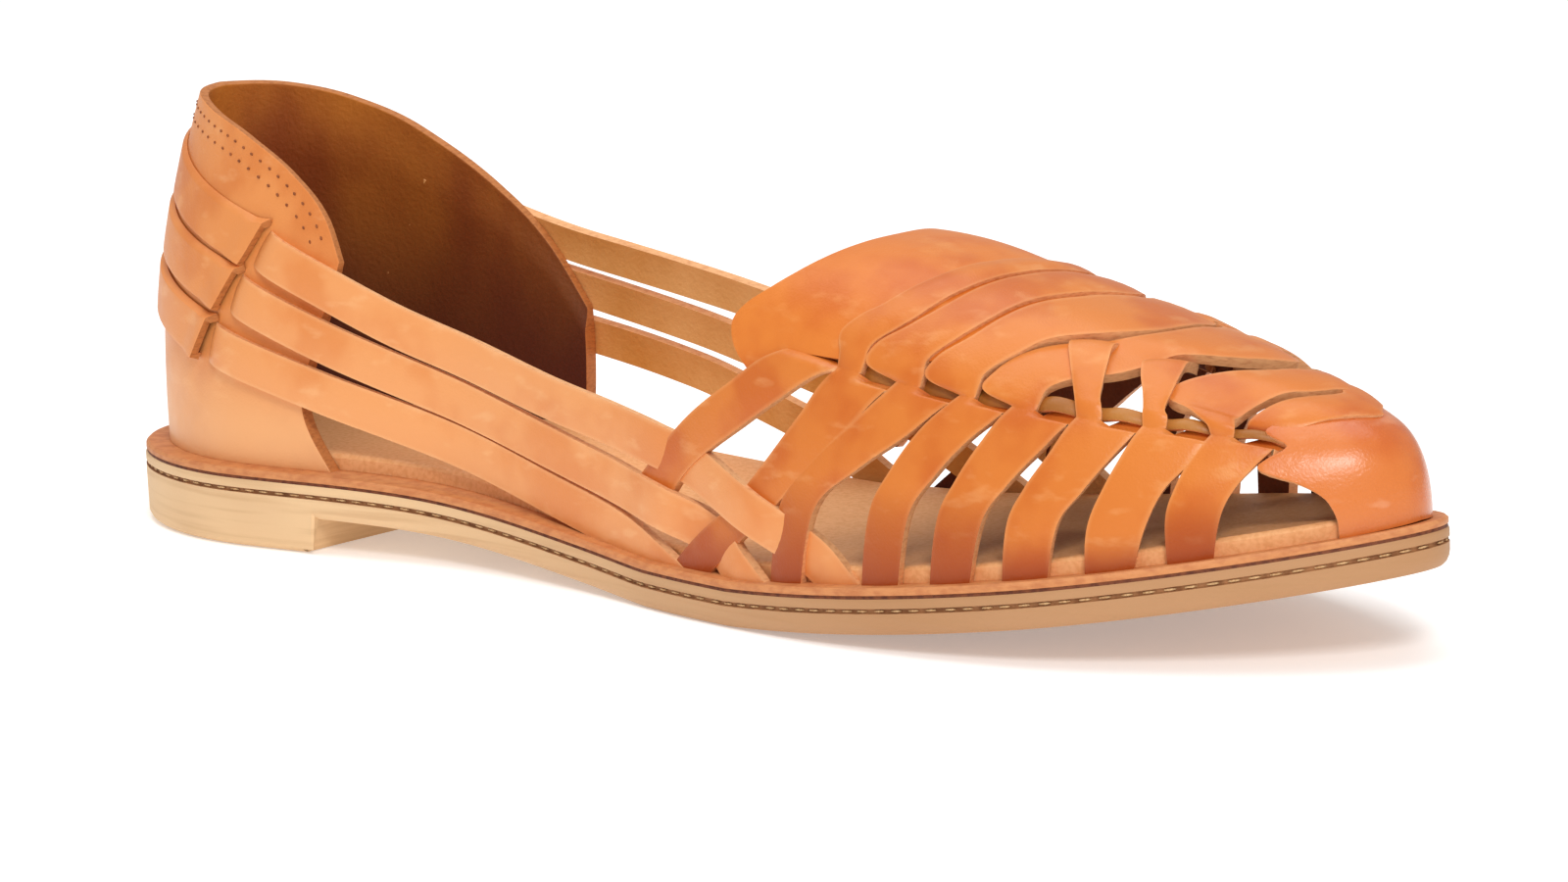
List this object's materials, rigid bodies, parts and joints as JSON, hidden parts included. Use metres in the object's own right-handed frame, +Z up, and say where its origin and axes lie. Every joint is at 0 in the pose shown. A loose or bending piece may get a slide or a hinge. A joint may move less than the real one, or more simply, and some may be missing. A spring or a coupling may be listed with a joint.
{
  "type": "huarache sandal",
  "caption": "Flat woven leather huarache for the left foot, with a closed pointed toe, open strapped arch, slotted heel cup and low heel.",
  "frame": {"origin": "on the floor, under the middle of the shoe's bounding box", "axes": "+X from heel to toe, +Y to the outer side of the foot, +Z up; the inner side, which the picture shows, is at -Y"},
  "size_m": [0.2518, 0.0736, 0.07],
  "materials": {
    "outsole": "matte natural tan sole with a smooth trimmed side",
    "ledge": "matte trimmed leather edge with a darker seam line",
    "insole": "soft matte lining leather",
    "strap": "smooth waxed tan leather with redder folds and paler cut edges",
    "counter": "smooth waxed tan leather, ochre and brown inside"
  },
  "bodies": {
    "root": {"outsole": "outsole", "midsole": "ledge", "insole": "insole", "upper": "strap", "heel_counter": "counter"}
  },
  "joints": []
}
